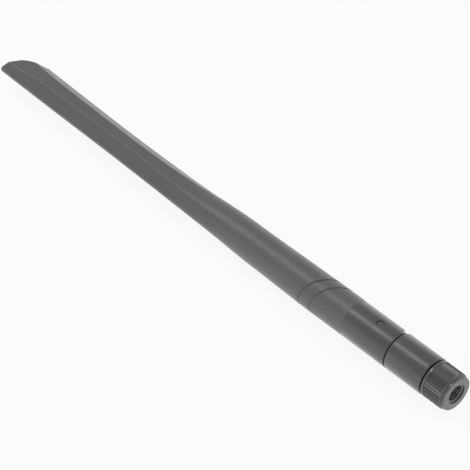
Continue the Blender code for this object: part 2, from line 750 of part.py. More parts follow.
def make_ferrule(parts, metal):
    """The crimp ferrule: wide over the plug's stem and necked down on the cable."""
    wide = STEM_DIAMETER / 2 + FIT_GAP
    start = BARREL_REAR + FIT_GAP
    step = STEM_REAR + FIT_GAP
    end = step + FERRULE_NECK_LENGTH
    ferrule = lathe("crimp_ferrule", [
        (wide, start),
        (wide + FERRULE_WALL, start),
        (wide + FERRULE_WALL, step),
        (CABLE_BORE_RADIUS + FERRULE_WALL, step + FERRULE_WALL),
        (CABLE_BORE_RADIUS + FERRULE_WALL, end),
        (CABLE_BORE_RADIUS, end),
        (CABLE_BORE_RADIUS, step),
        (wide, step),
    ], parts, metal, steps=FINE_SEGMENTS)
    shade_round(ferrule)
    return ferrule


def make_coax(parts, jacket):
    """The coax cable with both ends stripped: core into the contact, core to the board."""
    core = COAX_CORE_DIAMETER / 2
    foam = COAX_FOAM_DIAMETER / 2
    cover = COAX_DIAMETER / 2
    braid = BRAID_DIAMETER / 2
    contact_rear = INSULATOR_REAR - FIT_GAP
    front = contact_rear - CONTACT_CUP_DEPTH + FIT_GAP
    foam_front = front + CORE_BARE_LENGTH
    cover_front = foam_front + FOAM_BARE_LENGTH
    core_rear = SLOT_END - FIT_GAP
    foam_rear = core_rear - CORE_BARE_LENGTH
    braid_rear = foam_rear - FOAM_BARE_LENGTH
    cover_rear = braid_rear - BRAID_BARE_LENGTH
    coax = lathe("coax_cable", [
        (0, front),
        (core, front),
        (core, foam_front),
        (foam, foam_front),
        (foam, cover_front),
        (cover, cover_front),
        (cover, cover_rear),
        (braid, cover_rear),
        (braid, braid_rear),
        (foam, braid_rear),
        (foam, foam_rear),
        (core, foam_rear),
        (core, core_rear),
        (0, core_rear),
    ], parts, jacket, steps=FINE_SEGMENTS // 2, closed=False)
    shade_round(coax)
    return coax


def board_half_width():
    """Half the board's width: it clears the cavity's bowed walls up to the board's far end."""
    drift = bow(BOARD_REAR - RADOME_ROOT)
    return BLADE_WIDTH / 2 - RADOME_WALL - FIT_GAP - BOARD_EDGE_GAP - drift


def make_board(parts, laminate):
    """The radiator board; its front slot holds the cable's stripped end."""
    half_width = board_half_width()
    front = at(BOARD_FRONT)
    rear = at(BOARD_REAR)
    slot = at(SLOT_END)
    outline = [
        (rear, -half_width),
        (front, -half_width),
        (front, -SLOT_HALF_WIDTH),
        (slot, -SLOT_HALF_WIDTH),
        (slot, SLOT_HALF_WIDTH),
        (front, SLOT_HALF_WIDTH),
        (front, half_width),
        (rear, half_width),
    ]
    half = BOARD_THICKNESS / 2
    return plate("radiator_board", outline, -half, half, parts, laminate)


def make_ground_joint(parts, cutters, solder):
    """The solder saddle over the cable's braid, with a foot on each side of the slot."""
    station = SLOT_END - CORE_BARE_LENGTH - FOAM_BARE_LENGTH - BRAID_BARE_LENGTH / 2
    inner = SLOT_HALF_WIDTH
    outer = board_half_width() - SOLDER_MARGIN
    low = BOARD_THICKNESS / 2 + FIT_GAP
    high = COAX_DIAMETER / 2 + FIT_GAP + SOLDER_WALL
    front = at(station - SOLDER_LENGTH / 2)
    rear = at(station + SOLDER_LENGTH / 2)
    outline = [(rear, -outer), (front, -outer), (front, outer), (rear, outer)]
    joint = plate("ground_solder", outline, low, high, parts, solder)
    reach = SOLDER_LENGTH / 2 + BOOLEAN_REACH
    tunnel = lathe("solder_tunnel", [
        (0, station - reach),
        (inner, station - reach),
        (inner, station + reach),
        (0, station + reach),
    ], cutters, steps=FINE_SEGMENTS, closed=False)
    combine(joint, tunnel)
    return joint


def make_live_joint(parts, solder):
    """The solder bead at the slot's end, where the cable's core meets the board."""
    low = BOARD_THICKNESS / 2 + FIT_GAP
    start = SLOT_END + FIT_GAP
    middle = at(start + LIVE_JOINT_LENGTH / 2)
    outline = arc(LIVE_JOINT_LENGTH / 2, 0, 360, ARC_STEPS, (middle, 0))[:-1]
    return plate("live_solder", outline, low, low + LIVE_JOINT_HEIGHT, parts, solder)


def make_shrink(parts, rubber):
    """The heat-shrink sleeve over the cable, in front of the board."""
    inner = CABLE_BORE_RADIUS
    end = SHRINK_FRONT + SHRINK_LENGTH
    return make_tube("heat_shrink", inner, inner + SHRINK_WALL, SHRINK_FRONT, end, parts, rubber)


def make_foam_collar(parts, foam):
    """The foam collar that centres the cable in the radome's round root."""
    end = SHRINK_FRONT - FIT_GAP
    outer = round_radius(end - RADOME_ROOT) - RADOME_WALL - FIT_GAP
    return make_tube("foam_collar", CABLE_BORE_RADIUS, outer, end - FOAM_LENGTH, end, parts, foam)


def make_tip_pad(parts, cutters, foam):
    """The foam sock round the board's far end, against the radome's inner faces."""
    start = BOARD_REAR - TIP_PAD_OVERLAP
    half_height = BLADE_THICKNESS / 2 - RADOME_WALL - FIT_GAP
    half_width = BLADE_FLAT_WIDTH / 2 - bow(BOARD_REAR + TIP_PAD_LENGTH - RADOME_ROOT)
    front = at(start)
    rear = at(start + TIP_PAD_LENGTH)
    low = BOARD_THICKNESS / 2 + FIT_GAP
    outline = [(rear, -half_width), (front, -half_width), (front, half_width), (rear, half_width)]
    pad = plate("foam_pad", outline, -half_height, half_height, parts, foam)
    board_rear = at(BOARD_REAR + FIT_GAP)
    reach = half_width + BOOLEAN_REACH
    slot = plate("foam_slot", [
        (board_rear, -reach),
        (front + BOOLEAN_REACH, -reach),
        (front + BOOLEAN_REACH, reach),
        (board_rear, reach),
    ], -low, low, cutters)
    combine(pad, slot)
    return pad


def main():
    clear_scene()
    parts = make_collection("wifi_antenna")
    cutters = make_collection("cutters")

    matte = make_material("radome_plastic", (0.115, 0.115, 0.12), 0.55)
    satin = make_material("hinge_plastic", (0.085, 0.085, 0.09), 0.32)
    dark_metal = make_material("nut_metal", (0.10, 0.10, 0.105), 0.35, 0.6)
    brass = make_material("gilt_brass", (0.80, 0.60, 0.25), 0.3, 1.0)
    steel = make_material("pin_steel", (0.30, 0.30, 0.31), 0.35, 1.0)
    white = make_material("white_insulator", (0.90, 0.90, 0.88), 0.4)
    rubber = make_material("black_rubber", (0.02, 0.02, 0.02), 0.7)
    jacket = make_material("cable_jacket", (0.03, 0.03, 0.03), 0.5)
    laminate = make_material("board_laminate", (0.04, 0.22, 0.10), 0.45)
    solder = make_material("solder", (0.60, 0.60, 0.58), 0.35, 1.0)
    foam = make_material("grey_foam", (0.25, 0.25, 0.25), 0.9)

    connector = add_empty("connector", parts, PLUG_DEPTH)
    nut_axis = add_empty("nut_axis", parts, NUT_LENGTH / 2)
    swivel_axis = add_empty("swivel_axis", parts, SLEEVE_FRONT)
    fold_axis = add_empty("fold_axis", parts, PIN_STATION)

    attach(make_plug_body(parts, brass), connector)
    insulator = make_tube(
        "insulator", CONTACT_HOLE_RADIUS, INSULATOR_DIAMETER / 2, PLUG_DEPTH, INSULATOR_REAR, parts, white)
    attach(insulator, connector)
    attach(make_contact(parts, brass), connector)
    attach(make_retaining_ring(parts, cutters, steel), connector)
    attach(make_friction_ring(parts, rubber), connector)
    attach(make_ferrule(parts, brass), connector)

    attach(make_nut(parts, cutters, dark_metal), nut_axis)

    attach(make_sleeve(parts, cutters, satin), swivel_axis)
    attach(make_pin("hinge_pin_upper", 1, parts, steel), swivel_axis)
    attach(make_pin("hinge_pin_lower", -1, parts, steel), swivel_axis)

    attach(make_housing(parts, cutters, satin), fold_axis)
    attach(make_radome(parts, cutters, matte), fold_axis)
    attach(make_coax(parts, jacket), fold_axis)
    attach(make_shrink(parts, rubber), fold_axis)
    attach(make_foam_collar(parts, foam), fold_axis)
    attach(make_board(parts, laminate), fold_axis)
    attach(make_ground_joint(parts, cutters, solder), fold_axis)
    attach(make_live_joint(parts, solder), fold_axis)
    attach(make_tip_pad(parts, cutters, foam), fold_axis)
    bpy.context.view_layer.update()


main()
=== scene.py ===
"""Looks of a swivel wifi antenna: a matte swept blade, a satin hinge and a knurled coupling nut.

Stations are measured along the antenna's axis from the nut's front face towards the blade's tip,
and distances along the blade from its round root. Sizes are in millimetres times MM.
"""
import json
import math

import bmesh
import bpy
from mathutils import Matrix, Vector

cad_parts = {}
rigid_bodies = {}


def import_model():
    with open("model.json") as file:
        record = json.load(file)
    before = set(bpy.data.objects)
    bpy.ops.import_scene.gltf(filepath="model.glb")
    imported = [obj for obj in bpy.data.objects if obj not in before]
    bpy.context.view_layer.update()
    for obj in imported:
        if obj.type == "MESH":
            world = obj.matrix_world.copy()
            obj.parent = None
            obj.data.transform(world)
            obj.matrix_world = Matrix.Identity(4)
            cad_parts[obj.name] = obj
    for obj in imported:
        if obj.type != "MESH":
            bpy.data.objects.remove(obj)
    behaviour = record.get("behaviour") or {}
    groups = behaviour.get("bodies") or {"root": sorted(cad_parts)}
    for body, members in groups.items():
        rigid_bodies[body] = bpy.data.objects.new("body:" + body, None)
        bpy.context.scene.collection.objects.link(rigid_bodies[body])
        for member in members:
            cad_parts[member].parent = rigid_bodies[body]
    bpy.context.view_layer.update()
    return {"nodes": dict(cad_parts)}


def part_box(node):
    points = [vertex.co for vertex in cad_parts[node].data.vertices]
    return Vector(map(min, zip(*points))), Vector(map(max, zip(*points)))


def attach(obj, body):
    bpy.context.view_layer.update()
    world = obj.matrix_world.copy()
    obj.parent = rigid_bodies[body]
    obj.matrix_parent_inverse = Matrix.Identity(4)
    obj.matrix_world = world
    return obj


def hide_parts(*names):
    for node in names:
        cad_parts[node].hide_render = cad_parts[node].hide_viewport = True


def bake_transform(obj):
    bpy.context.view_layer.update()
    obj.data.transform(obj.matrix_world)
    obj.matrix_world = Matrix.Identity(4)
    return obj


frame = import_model()

MM = 0.001
MERGE = 0.002 * MM              # points nearer than this become one
TOUCH = 1e-3 * MM               # radii nearer than this count as the same
SLIVER = 1e-4 * MM * MM         # area of a face that is only a seam

# The axis, taken from the nut's own box
nut_low, nut_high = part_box("coupling_nut")
FRONT_X = nut_high.x
AXIS_Y = (nut_low.y + nut_high.y) / 2
AXIS_Z = (nut_low.z + nut_high.z) / 2

# Base and hinge
BODY_RADIUS = 6.236 * MM
SLEEVE_FRONT = 9.3 * MM
SLEEVE_REAR = 23.45 * MM
SLEEVE_FLOOR = 2.6 * MM
HOUSING_FRONT = 23.85 * MM
HOUSING_REAR = 41.32 * MM
RADOME_ROOT = 41.5 * MM
SEAM = 0.16 * MM                # how far the blade's root reaches towards the housing
PIN_STATION = 31.1 * MM
PIN_RADIUS = 1.15 * MM
PIN_HOLE_RADIUS = 1.22 * MM
PIN_RECESS = 0.12 * MM
PIN_GAP = 0.3 * MM              # between a pin's inner end and the cable's channel
TONGUE_RADIUS = 4.6 * MM
TONGUE_HALF = 3.2 * MM
SLOT_RADIUS = 4.9 * MM
SLOT_HALF = 3.5 * MM
CHEEK_RADIUS = 7.35 * MM
CHANNEL_RADIUS = 1.3 * MM
SPIGOT_RADIUS = 4.7 * MM
SPIGOT_LENGTH = 10.0 * MM
BORE_RADIUS = 3.3 * MM

# Coupling nut
NUT_LENGTH = 8.8 * MM
NUT_RADIUS = 6.15 * MM
LIP_RADIUS = 5.65 * MM
GROOVE_RADIUS = 5.36 * MM
MOUTH_RADIUS = 3.4 * MM
NUT_REAR_BORE = 2.95 * MM
RING_POCKET_RADIUS = 3.6 * MM
RING_FRONT = 6.35 * MM
RING_REAR = 7.45 * MM
KNURL_COUNT = 56
KNURL_COLUMNS = 6               # of faces in one ridge
KNURL_FLOOR = 0.12              # flat share of a half ridge, at the bottom of the valley
KNURL_SOFTNESS = 0.08
KNURL_DEPTH = 0.34 * MM
KNURL_START = 1.4 * MM
KNURL_END = 7.9 * MM
KNURL_RUNOUT = 0.12 * MM
THREAD_PITCH = 0.7056 * MM
THREAD_DEPTH = 0.38 * MM
THREAD_RADIUS = 3.175 * MM
THREAD_START = 0.62 * MM
THREAD_LEDGE = (0.2 * MM, 0.45 * MM)    # where the plain ledge at the mouth turns into thread
THREAD_FLANK = (0.2, 0.86)      # the share of a half turn in which the thread's depth changes
PLUG_DEPTH = 5.4 * MM
THREAD_END = PLUG_DEPTH - 0.2 * MM

# Blade; corner positions in its section run from 0 at the top or bottom to 1 at the side
CREASE = 0.42
CREASE_SOFTNESS = 0.05
EDGE = 0.9
EDGE_SOFTNESS = 0.03
BLADE_COLUMNS = 160
OUTER_ROWS = {
    "lip": 4, "grooves": 176, "round": 20, "morph": 66,
    "blade": 24, "tip": 44, "edge": 6, "end": 4,
}
INNER_ROWS = {
    "lip": 1, "grooves": 6, "round": 6, "morph": 30,
    "blade": 6, "tip": 20, "edge": 0, "end": 3,
}
GROOVE_ZONE = 20.0 * MM         # length of the root that has the fine rows
GROOVE_SOFTNESS = 0.18
SLANT_IN = (0.0, 6.0 * MM)      # where the rows begin to lean along with the grooves
SLANT_OUT = (16.0 * MM, 34.0 * MM)
TIP_CORNER_SHARE = 0.12         # of the tip's width, as the next
TIP_TURN_SHARE = 0.5
BLADE = {
    "Length": 152.65 * MM,
    "Root radius": BODY_RADIUS,
    "Root straight": 13.2 * MM,
    "Shoulder radius": 5.8 * MM,
    "Shoulder distance": 39.2 * MM,
    "Blade distance": 91.2 * MM,
    "Width distance": 105.2 * MM,
    "Blade width": 10.3 * MM,
    "Tip width": 10.95 * MM,
    "Thickness": 7.1 * MM,
    "Tip thickness": 5.3 * MM,
    "Taper distance": 131.2 * MM,
    "Taper length": 19.0 * MM,
    "Edge height": 1.1 * MM,
    "Bevel run": 1.0 / math.tan(math.radians(40.8)),
    "Thickness lag": 1.4,
    "Bow": 1.65 * MM,
    "Shoulder shift": 0.2 * MM,
    "Tip sweep": 6.9 * MM,
    "Tip turn": 4.0 * MM,
    "Tip corner": 0.2 * MM,
    "Tip edge": 0.6 * MM,
    "Root edge": 0.03 * MM,
    "Wall": 1.25 * MM,
    "Seam": SEAM,
    "Groove width": 0.7 * MM,
    "Groove depth": 0.4 * MM,
    "Groove slant": math.tan(math.radians(32.0)),
    "First groove": 9.2 * MM,
    "Groove spacing": 4.6 * MM,
}


def at(station):
    """The X coordinate of a station."""
    return FRONT_X - station


class Number:
    """A number or vector in a node tree; arithmetic on it adds the nodes."""

    def __init__(self, tree, socket):
        self.tree = tree
        self.socket = socket

    def math(self, operation, *values, clamp=False):
        """A Math node with this number first."""
        return calculate(self.tree, operation, self, *values, clamp=clamp)

    def __add__(self, other):
        return self.math("ADD", other)

    def __radd__(self, other):
        return self.math("ADD", other)

    def __sub__(self, other):
        return self.math("SUBTRACT", other)

    def __rsub__(self, other):
        return calculate(self.tree, "SUBTRACT", other, self)

    def __mul__(self, other):
        return self.math("MULTIPLY", other)

    def __rmul__(self, other):
        return self.math("MULTIPLY", other)

    def __truediv__(self, other):
        return self.math("DIVIDE", other)


def connect(tree, value, socket):
    """Links a Number to a socket, or sets a plain value on it."""
    if isinstance(value, Number):
        tree.links.new(value.socket, socket)
    else:
        socket.default_value = value


def calculate(tree, operation, *values, clamp=False):
    """A Math node fed with Numbers or plain values."""
    node = tree.nodes.new("ShaderNodeMath")
    node.operation = operation
    node.use_clamp = clamp
    for value, socket in zip(values, node.inputs):
        connect(tree, value, socket)
    return Number(tree, node.outputs[0])


def ramp(value, low, high):
    """Runs from 0 to 1 as the value goes from low to high, and stays there."""
    return ((value - low) / (high - low)).math("ADD", 0.0, clamp=True)


def smooth(share):
    """Eases a share from 0 to 1 at both of its ends."""
    return share * share * (3.0 - 2.0 * share)


def mix(share, first, second):
    """The first value at 0 and the second at 1."""
    return first + (second - first) * share


def knee(value, softness):
    """Zero below nought and the value itself above, with a rounded turn between."""
    turn = ((value + softness) / (2.0 * softness)).math("ADD", 0.0, clamp=True)
    return softness * turn * turn + (value - softness).math("MAXIMUM", 0.0)


def new_tree(name, sizes, takes_mesh):
    """A Geometry Nodes tree with one named input for each size."""
    tree = bpy.data.node_groups.new(name, "GeometryNodeTree")
    tree.interface.new_socket("Geometry", in_out="OUTPUT", socket_type="NodeSocketGeometry")
    if takes_mesh:
        tree.interface.new_socket("Geometry", in_out="INPUT", socket_type="NodeSocketGeometry")
    for label, value in sizes.items():
        kind = "NodeSocketInt" if isinstance(value, int) else "NodeSocketFloat"
        socket = tree.interface.new_socket(label, in_out="INPUT", socket_type=kind)
        socket.default_value = value
    given = tree.nodes.new("NodeGroupInput")
    numbers = {label: Number(tree, given.outputs[label]) for label in sizes}
    return tree, given, numbers


def finish_tree(tree, geometry, material):
    """Ends a tree with real instances, a smooth skin and its finish."""
    real = tree.nodes.new("GeometryNodeRealizeInstances")
    skin = tree.nodes.new("GeometryNodeSetShadeSmooth")
    finish = tree.nodes.new("GeometryNodeSetMaterial")
    result = tree.nodes.new("NodeGroupOutput")
    finish.inputs["Material"].default_value = material
    tree.links.new(geometry, real.inputs[0])
    tree.links.new(real.outputs[0], skin.inputs[0])
    tree.links.new(skin.outputs[0], finish.inputs[0])
    tree.links.new(finish.outputs[0], result.inputs[0])


def shape_with(thing, tree, sizes):
    """Puts a Geometry Nodes tree on a piece, with its sizes as the modifier's inputs."""
    modifier = thing.modifiers.new(tree.name, "NODES")
    modifier.node_group = tree
    for item in tree.interface.items_tree:
        if item.in_out == "INPUT" and item.name in sizes:
            modifier[item.identifier] = sizes[item.name]


def add_thing(name, data):
    """A new object in the scene with a mesh, a lamp or a camera."""
    thing = bpy.data.objects.new(name, data)
    bpy.context.scene.collection.objects.link(thing)
    return thing


def settle(thing, material=None, crease=35):
    """Turns a piece with live modifiers into a plain welded mesh at the origin."""
    bpy.context.view_layer.update()
    graph = bpy.context.evaluated_depsgraph_get()
    mesh = bpy.data.meshes.new_from_object(thing.evaluated_get(graph))
    mesh.transform(thing.matrix_world)
    thing.modifiers.clear()
    thing.data = mesh
    thing.matrix_world = Matrix.Identity(4)
    welded = bmesh.new()
    welded.from_mesh(mesh)
    bmesh.ops.remove_doubles(welded, verts=welded.verts, dist=MERGE)
    bmesh.ops.dissolve_degenerate(welded, edges=welded.edges, dist=MERGE)
    slivers = [face for face in welded.faces if face.calc_area() < SLIVER
               and any(len(edge.link_faces) == 1 for edge in face.edges)]
    bmesh.ops.delete(welded, geom=slivers, context="FACES")
    bmesh.ops.recalc_face_normals(welded, faces=welded.faces)
    welded.to_mesh(mesh)
    welded.free()
    if material:
        mesh.materials.clear()
        mesh.materials.append(material)
    mesh.shade_smooth()
    mesh.set_sharp_from_angle(angle=math.radians(crease))


def rounded(profile, radii, steps=4):
    """A profile with arcs in place of the corners that have a radius.

    Its points are (radius, station), and radii gives the arc's size for a corner's index.
    """
    count = len(profile)
    points = []
    for index, corner in enumerate(profile):
        size = radii.get(index, 0.0)
        here = Vector(corner)
        if not size:
            points.append(here)
            continue
        before = (Vector(profile[index - 1]) - here).normalized()
        after = (Vector(profile[(index + 1) % count]) - here).normalized()
        half = before.angle(after) / 2
        reach = size / math.tan(half)
        middle = here + (before + after).normalized() * size / math.sin(half)
        first = here + before * reach - middle
        turn = first.angle_signed(here + after * reach - middle)
        for step in range(steps + 1):
            angle = -turn * step / steps
            ray = Vector((
                first.x * math.cos(angle) - first.y * math.sin(angle),
                first.x * math.sin(angle) + first.y * math.cos(angle),
            ))
            points.append(middle + ray)
    return points


def lathe(name, profile, steps=192, closed=True, sideways=None):
    """A turned piece on the antenna's axis, or round an upright axis at a station."""
    mesh = bpy.data.meshes.new(name)
    count = len(profile)
    edges = [(index, index + 1) for index in range(count - 1)]
    if closed:
        edges.append((count - 1, 0))
    if sideways is None:
        mesh.from_pydata([(radius, 0, at(station)) for radius, station in profile], edges, [])
    else:
        mesh.from_pydata([(radius, 0, height) for radius, height in profile], edges, [])
    thing = add_thing(name, mesh)
    if sideways is None:
        thing.rotation_mode = "ZYX"
        thing.rotation_euler = (0, math.pi / 2, math.pi / steps)
        thing.location = (0, AXIS_Y, AXIS_Z)
    else:
        thing.location = (at(sideways), AXIS_Y, AXIS_Z)
    turn = thing.modifiers.new("turn", "SCREW")
    turn.axis = "Z"
    turn.steps = steps
    turn.render_steps = steps
    turn.use_merge_vertices = True
    turn.merge_threshold = MERGE
    return thing


def arc(radius, start, end, steps, centre):
    """Points on an arc in plan, from one angle to another, in degrees."""
    points = []
    for step in range(steps + 1):
        angle = math.radians(start + (end - start) * step / steps)
        points.append((centre + radius * math.cos(angle), radius * math.sin(angle)))
    return points


def plate(name, outline, low, high):
    """A flat piece with its outline in plan, between two heights over the axis."""
    mesh = bpy.data.meshes.new(name)
    shape = bmesh.new()
    floor = [shape.verts.new((x, AXIS_Y + y, AXIS_Z + low)) for x, y in outline]
    face = shape.faces.new(floor)
    raised = bmesh.ops.extrude_face_region(shape, geom=[face])
    verts = [item for item in raised["geom"] if isinstance(item, bmesh.types.BMVert)]
    bmesh.ops.translate(shape, verts=verts, vec=(0, 0, high - low))
    bmesh.ops.recalc_face_normals(shape, faces=shape.faces)
    shape.to_mesh(mesh)
    shape.free()
    return add_thing(name, mesh)


def cut(thing, tool, operation="DIFFERENCE"):
    """Takes a closed tool from a piece, or joins it, and marks the tool as spare."""
    modifier = thing.modifiers.new(tool.name, "BOOLEAN")
    modifier.operation = operation
    modifier.solver = "EXACT"
    modifier.object = tool
    tool["spare"] = True


def remove_tools():
    """Deletes the tools, once every piece is settled."""
    for thing in list(bpy.data.objects):
        if thing.get("spare"):
            bpy.data.objects.remove(thing, do_unlink=True)


# Finishes

NOISE_SPAN = (0.3, 0.7)         # the part of a noise that is stretched to run from 0 to 1
PLASTIC_CLOUDS = 60.0
PLASTIC_PATCHES = 220.0
METAL_CLOUDS = 400.0
NEAR_ARM = (86.5 * MM, 90.0 * MM)
FAR_ARM = (91.0 * MM, 118.0 * MM)
ARM_HALF_WIDTH = 1.6 * MM


def shader_of(name):
    """A new material with its tree and its shader."""
    material = bpy.data.materials.new(name)
    material.use_nodes = True
    return material, material.node_tree, material.node_tree.nodes["Principled BSDF"]


def noise(tree, scale, detail=2.0, roughness=0.5):
    """Fractal noise on the piece's own coordinates, from 0 to 1."""
    place = tree.nodes.new("ShaderNodeTexCoord")
    node = tree.nodes.new("ShaderNodeTexNoise")
    node.inputs["Scale"].default_value = scale
    node.inputs["Detail"].default_value = detail
    node.inputs["Roughness"].default_value = roughness
    tree.links.new(place.outputs["Object"], node.inputs["Vector"])
    return Number(tree, node.outputs[0])


def blend_colours(tree, share, first, second):
    """The first colour at 0 and the second at 1."""
    node = tree.nodes.new("ShaderNodeMix")
    node.data_type = "RGBA"
    connect(tree, share, node.inputs["Factor"])
    node.inputs["A"].default_value = (*first, 1.0)
    node.inputs["B"].default_value = (*second, 1.0)
    return Number(tree, node.outputs["Result"])


def bump(tree, height, depth, shader):
    """A relief of a real depth in metres."""
    node = tree.nodes.new("ShaderNodeBump")
    node.inputs["Strength"].default_value = 1.0
    node.inputs["Distance"].default_value = depth
    tree.links.new(height.socket, node.inputs["Height"])
    tree.links.new(node.outputs["Normal"], shader.inputs["Normal"])


def moulded_plastic(name, dark, light, rough, skin_roughness, grain_scale, grain_depth):
    """Moulded plastic: an even tone with faint clouds, a spark-eroded grain and a clear skin."""
    material, tree, shader = shader_of(name)
    clouds = ramp(noise(tree, PLASTIC_CLOUDS, 3.0), *NOISE_SPAN)
    grain = noise(tree, grain_scale, 3.0, 0.6)
    tone = clouds * 0.6 + grain * 0.4
    connect(tree, blend_colours(tree, tone, dark, light), shader.inputs["Base Color"])
    patches = ramp(noise(tree, PLASTIC_PATCHES, 2.0), *NOISE_SPAN)
    connect(tree, mix(patches, *rough), shader.inputs["Roughness"])
    shader.inputs["IOR"].default_value = 1.5
    shader.inputs["Coat Weight"].default_value = 1.0
    shader.inputs["Coat Roughness"].default_value = skin_roughness
    bump(tree, grain, grain_depth, shader)
    return material


def plated_metal(name, dark, light, metallic, rough, line_scale, line_depth):
    """Plated turned metal: fine tool lines round the axis and slightly uneven plating."""
    material, tree, shader = shader_of(name)
    clouds = ramp(noise(tree, METAL_CLOUDS, 3.0), *NOISE_SPAN)
    connect(tree, blend_colours(tree, clouds, dark, light), shader.inputs["Base Color"])
    shader.inputs["Metallic"].default_value = metallic
    place = tree.nodes.new("ShaderNodeTexCoord")
    apart = tree.nodes.new("ShaderNodeSeparateXYZ")
    tree.links.new(place.outputs["Object"], apart.inputs[0])
    along = Number(tree, apart.outputs["X"])
    across = Number(tree, apart.outputs["Y"]) - AXIS_Y
    up = Number(tree, apart.outputs["Z"]) - AXIS_Z
    radius = (across * across + up * up).math("SQRT")
    lines = tree.nodes.new("ShaderNodeTexNoise")
    lines.noise_dimensions = "1D"
    lines.inputs["Scale"].default_value = line_scale
    lines.inputs["Detail"].default_value = 3.0
    connect(tree, radius + along, lines.inputs["W"])
    turned = Number(tree, lines.outputs[0])
    wear = turned * 0.7 + clouds * 0.3
    connect(tree, mix(wear, *rough), shader.inputs["Roughness"])
    bump(tree, turned, line_depth, shader)
    return material


def soft_rubber(name, colour, roughness, scale):
    """Rubber, jacket or foam: one dull colour with a fine grain."""
    material, tree, shader = shader_of(name)
    grain = noise(tree, scale, 3.0, 0.6)
    lighter = tuple(part * 1.35 for part in colour)
    connect(tree, blend_colours(tree, grain, colour, lighter), shader.inputs["Base Color"])
    connect(tree, mix(grain, roughness - 0.06, roughness + 0.06), shader.inputs["Roughness"])
    bump(tree, grain, 0.01 * MM, shader)
    return material


def board_finish(name):
    """Green laminate with two copper arms and a feed gap between them."""
    material, tree, shader = shader_of(name)
    place = tree.nodes.new("ShaderNodeTexCoord")
    apart = tree.nodes.new("ShaderNodeSeparateXYZ")
    tree.links.new(place.outputs["Object"], apart.inputs[0])
    along = FRONT_X - Number(tree, apart.outputs["X"])
    across = (Number(tree, apart.outputs["Y"]) - AXIS_Y).math("ABSOLUTE")
    near, far = (
        along.math("GREATER_THAN", start) * along.math("LESS_THAN", end)
        for start, end in (NEAR_ARM, FAR_ARM)
    )
    arms = (near + far).math("MINIMUM", 1.0) * across.math("LESS_THAN", ARM_HALF_WIDTH)
    colour = blend_colours(tree, arms, (0.02, 0.13, 0.05), (0.45, 0.36, 0.16))
    connect(tree, colour, shader.inputs["Base Color"])
    connect(tree, mix(arms, 0.42, 0.28), shader.inputs["Roughness"])
    weave = noise(tree, 3000.0, 1.0)
    bump(tree, weave * 0.3 + arms, 0.02 * MM, shader)
    return material


def white_plastic(name):
    """The waxy white plastic of the plug's insulator."""
    material, tree, shader = shader_of(name)
    grain = noise(tree, 1500.0, 2.0)
    colour = blend_colours(tree, grain, (0.80, 0.80, 0.78), (0.86, 0.86, 0.84))
    connect(tree, colour, shader.inputs["Base Color"])
    connect(tree, mix(grain, 0.38, 0.46), shader.inputs["Roughness"])
    bump(tree, grain, 0.004 * MM, shader)
    return material


RADOME_PLASTIC = moulded_plastic(
    "radome_plastic", (0.083, 0.083, 0.084), (0.096, 0.096, 0.097),
    (0.42, 0.52), 0.40, 5200.0, 0.012 * MM)
HINGE_PLASTIC = moulded_plastic(
    "hinge_plastic", (0.055, 0.055, 0.056), (0.061, 0.061, 0.062),
    (0.30, 0.36), 0.25, 2600.0, 0.003 * MM)
NUT_METAL = plated_metal(
    "nut_metal", (0.130, 0.130, 0.133), (0.155, 0.155, 0.159),
    0.60, (0.18, 0.25), 16000.0, 0.003 * MM)
# A brighter copy of the nut's plating. Its rougher satin is partly a finish of its own, and its
# extra brightness is painted light for the floor's light that the front face and the bore reflect.
NUT_FACE_PAINTED_LIGHT = plated_metal(
    "nut_face_painted_light", (0.20, 0.20, 0.205), (0.24, 0.24, 0.245),
    0.55, (0.34, 0.44), 20000.0, 0.003 * MM)
GILT_BRASS = plated_metal(
    "gilt_brass", (0.72, 0.52, 0.22), (0.80, 0.60, 0.28),
    1.0, (0.24, 0.34), 18000.0, 0.002 * MM)
PIN_STEEL = plated_metal(
    "pin_steel", (0.105, 0.105, 0.108), (0.125, 0.125, 0.128),
    0.3, (0.32, 0.40), 14000.0, 0.002 * MM)
SPRING_STEEL = plated_metal(
    "spring_steel", (0.34, 0.34, 0.35), (0.42, 0.42, 0.43),
    1.0, (0.28, 0.36), 14000.0, 0.002 * MM)
TIN_SOLDER = plated_metal(
    "tin_solder", (0.52, 0.52, 0.50), (0.62, 0.62, 0.60),
    1.0, (0.28, 0.42), 3000.0, 0.006 * MM)
WHITE_INSULATOR = white_plastic("white_insulator")
BLACK_RUBBER = soft_rubber("black_rubber", (0.018, 0.018, 0.018), 0.62, 3000.0)
CABLE_JACKET = soft_rubber("cable_jacket", (0.022, 0.022, 0.022), 0.42, 2000.0)
GREY_FOAM = soft_rubber("grey_foam", (0.17, 0.17, 0.17), 0.88, 5000.0)
BOARD_LAMINATE = board_finish("board_laminate")


# Blade

